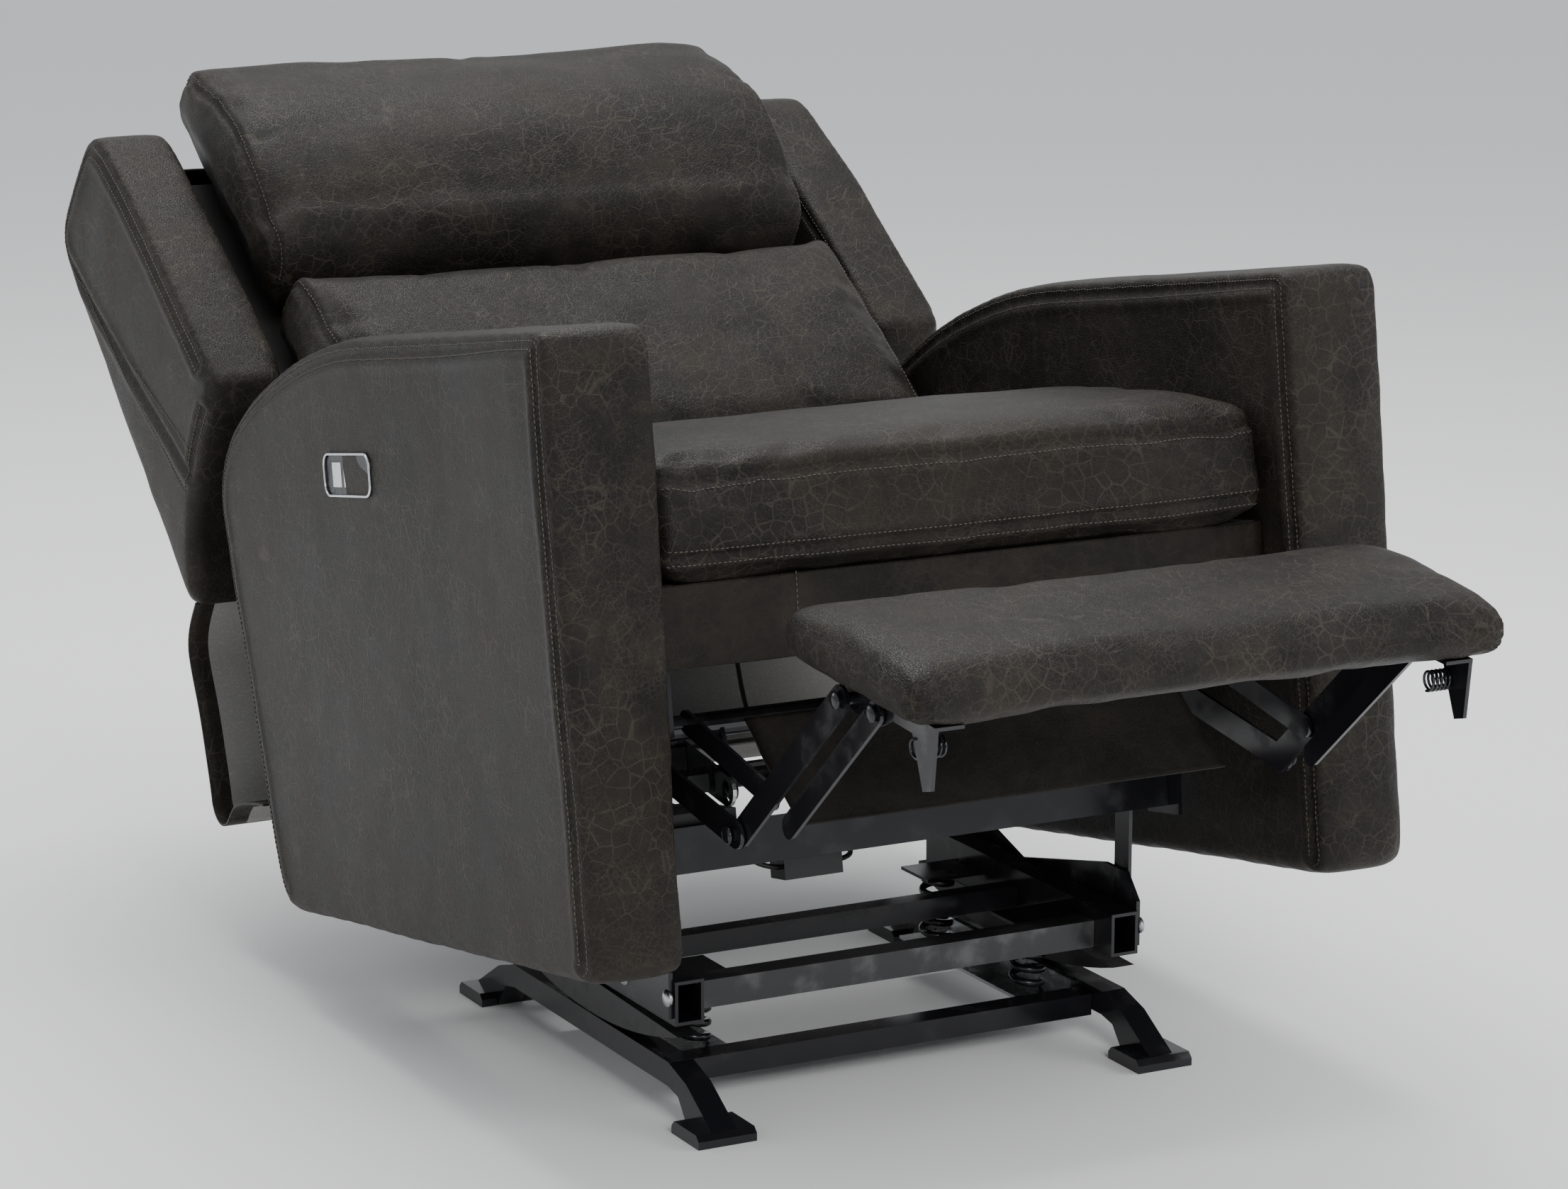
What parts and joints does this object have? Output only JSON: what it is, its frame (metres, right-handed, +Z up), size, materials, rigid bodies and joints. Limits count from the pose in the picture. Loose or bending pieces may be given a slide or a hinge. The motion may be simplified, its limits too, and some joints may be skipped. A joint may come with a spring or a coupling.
{
  "type": "power rocker recliner armchair",
  "caption": "Upholstered rocker recliner armchair with winged back, padded arms, tilting headrest, powered folding footrest and a steel rocker base.",
  "frame": {"origin": "middle of the bounding box in X and Y, at floor level, reclined with the footrest out", "axes": "-Y is the way the chair faces, +X is to the right of someone looking at its front, +Z is up"},
  "size_m": [0.8, 1.5654, 0.8178],
  "materials": {
    "leather": "distressed dark grey-brown leather, satin",
    "black_steel": "gloss black enamelled pressed steel",
    "bar_steel": "bare dark steel bar",
    "zinc": "bright zinc plating",
    "black_plastic": "moulded black plastic",
    "foam_board": "plywood and foam, hidden by the covers",
    "lining": "grey lining cloth with dark leather bands",
    "panel_metal": "dark satin metal plate with a bright rim",
    "chrome": "bright button caps",
    "cable": "black cable sheath"
  },
  "bodies": {
    "base": {"base_rail_left": "black_steel", "base_rail_right": "black_steel", "front_floor_bar": "black_steel", "spring_seat_left": "zinc", "spring_seat_right": "zinc", "rocker_spring_front_left": "black_steel", "rocker_spring_front_right": "black_steel", "rocker_spring_rear_left": "black_steel", "rocker_spring_rear_right": "black_steel"},
    "rocker": {"rocker_cam_left": "black_plastic", "rocker_cam_right": "black_plastic", "cam_channel_left": "black_steel", "cam_channel_right": "black_steel", "riser_plate_left": "black_steel", "riser_plate_right": "black_steel", "middle_bar": "bar_steel", "rear_bar": "black_steel", "tilt_tube": "black_steel"},
    "lift_links": {"lift_link_left": "black_steel", "lift_link_right": "black_steel"},
    "seat_frame": {"side_plate_left": "black_steel", "side_plate_right": "black_steel", "cross_pan": "black_steel", "arm_left": "leather", "arm_right": "leather", "control_bezel": "panel_metal", "seat_deck": "foam_board", "seat_cushion": "leather", "front_fascia": "leather", "actuator": "black_plastic", "actuator_track": "zinc", "return_spring": "zinc", "motor_lead": "cable", "inline_connector": "black_plastic"},
    "button_open": {"button_open": "chrome"},
    "button_close": {"button_close": "chrome"},
    "drive": {"slide_block": "black_plastic", "drive_link": "zinc"},
    "back": {"wing_left": "leather", "wing_right": "leather", "back_frame": "foam_board", "back_cushion": "leather", "outside_back": "leather", "rear_flap": "lining"},
    "headrest": {"headrest": "leather", "headrest_plate": "black_steel"},
    "rear_links": {"rear_link_left": "black_steel", "rear_link_right": "black_steel", "torque_tube": "black_steel", "valance": "leather"},
    "front_links": {"front_link_left": "black_steel", "front_link_right": "black_steel"},
    "upper_links": {"upper_link_left": "black_steel", "upper_link_right": "black_steel"},
    "footrest": {"footrest_pad": "leather", "footrest_bracket_left": "black_steel", "footrest_bracket_right": "black_steel"},
    "parallel_links": {"parallel_link_left": "black_steel", "parallel_link_right": "black_steel"},
    "mid_flap": {"mid_flap": "leather"}
  },
  "joints": [
    {"name": "rock", "type": "hinge", "parent": "base", "child": "rocker", "pos_m": [0, -0.11079, 0.6704], "axis": [1, 0, 0], "range_deg": [-6, 6], "stiffness_Nm_per_rad": 900, "deforming": ["rocker_spring_front_left", "rocker_spring_front_right", "rocker_spring_rear_left", "rocker_spring_rear_right"]},
    {"name": "seat_tilt", "type": "hinge", "parent": "rocker", "child": "seat_frame", "pos_m": [0, 0.09421, 0.19], "axis": [1, 0, 0], "range_deg": [0, 9.55]},
    {"name": "lift_swing", "type": "hinge", "parent": "rocker", "child": "lift_links", "pos_m": [0, -0.25279, 0.142], "axis": [1, 0, 0], "range_deg": [-64.05, 0]},
    {"name": "back_recline", "type": "hinge", "parent": "seat_frame", "child": "back", "pos_m": [0, 0.20745, 0.39411], "axis": [1, 0, 0], "range_deg": [0, 31]},
    {"name": "headrest_tilt", "type": "hinge", "parent": "back", "child": "headrest", "pos_m": [0, 0.48886, 0.62531], "axis": [1, 0, 0], "range_deg": [0, 18]},
    {"name": "footrest_extend", "type": "hinge", "parent": "seat_frame", "child": "rear_links", "pos_m": [0, -0.24583, 0.33917], "axis": [1, 0, 0], "range_deg": [0, 43.7]},
    {"name": "front_link_swing", "type": "hinge", "parent": "rear_links", "child": "front_links", "pos_m": [0, -0.46854, 0.30711], "axis": [1, 0, 0], "range_deg": [-87.44, 0]},
    {"name": "upper_link_swing", "type": "hinge", "parent": "seat_frame", "child": "upper_links", "pos_m": [0, -0.35915, 0.37591], "axis": [1, 0, 0], "range_deg": [0, 68.21]},
    {"name": "footrest_swing", "type": "hinge", "parent": "front_links", "child": "footrest", "pos_m": [0, -0.63682, 0.45647], "axis": [1, 0, 0], "range_deg": [0, 119.75]},
    {"name": "parallel_link_swing", "type": "hinge", "parent": "footrest", "child": "parallel_links", "pos_m": [0, -0.6757, 0.45341], "axis": [1, 0, 0], "range_deg": [-119.75, 0]},
    {"name": "mid_flap_swing", "type": "hinge", "parent": "footrest", "child": "mid_flap", "pos_m": [0, -0.57532, 0.46532], "axis": [1, 0, 0], "range_deg": [-168.05, 0]},
    {"name": "drive_slide", "type": "slide", "parent": "seat_frame", "child": "drive", "axis": [0, 0.9863, -0.165], "range_m": [0, 0.04474]},
    {"name": "button_open_press", "type": "slide", "parent": "seat_frame", "child": "button_open", "axis": [1, 0, 0], "range_m": [0, 0.0015], "stiffness_N_per_m": 600},
    {"name": "button_close_press", "type": "slide", "parent": "seat_frame", "child": "button_close", "axis": [1, 0, 0], "range_m": [0, 0.0015], "stiffness_N_per_m": 600}
  ],
  "couplings": [
    {"joint": "seat_tilt", "follows": "back_recline", "ratio": 0.30645},
    {"joint": "lift_swing", "follows": "back_recline", "ratio": -2.0645},
    {"joint": "front_link_swing", "follows": "footrest_extend", "ratio": -2},
    {"joint": "upper_link_swing", "follows": "footrest_extend", "ratio": 1.56},
    {"joint": "footrest_swing", "follows": "footrest_extend", "ratio": 2.7393},
    {"joint": "parallel_link_swing", "follows": "footrest_extend", "ratio": -2.7393},
    {"joint": "mid_flap_swing", "follows": "footrest_extend", "ratio": -3.8449},
    {"joint": "drive_slide", "follows": "footrest_extend", "m_per_rad": 0.05853}
  ]
}
